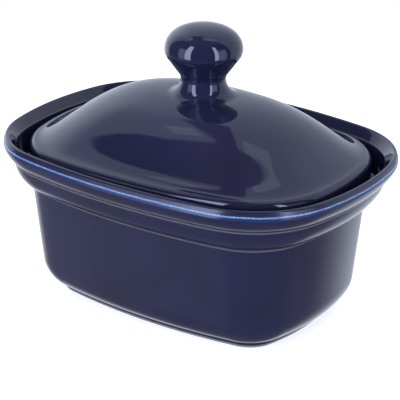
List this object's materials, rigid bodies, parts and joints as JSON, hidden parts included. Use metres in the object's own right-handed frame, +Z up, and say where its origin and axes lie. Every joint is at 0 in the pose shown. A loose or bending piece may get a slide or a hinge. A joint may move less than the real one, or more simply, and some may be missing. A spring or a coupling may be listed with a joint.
{
  "type": "butter crock",
  "caption": "Rectangular glazed stoneware butter crock with a flared rim of two rounded bands, a foot ring and a lift-off domed lid with a mushroom knob.",
  "frame": {"origin": "middle of the footprint, on the surface that the foot ring stands on", "axes": "+X along the crock's length, +Y across its width, +Z up"},
  "size_m": [0.165, 0.125, 0.122],
  "materials": {
    "crock_glaze": "glossy cobalt glaze that breaks to a thin azure line along the lip; bare clay under the foot ring",
    "lid_glaze": "glossy cobalt glaze; bare clay under the skirt",
    "knob_glaze": "glossy cobalt glaze"
  },
  "bodies": {
    "crock": {"crock": "crock_glaze"},
    "lid": {"lid": "lid_glaze", "lid_knob": "knob_glaze"}
  },
  "joints": [
    {"name": "lid_lift", "type": "slide", "parent": "crock", "child": "lid", "axis": [0, 0, 1], "range_m": [0, 0.06]}
  ]
}
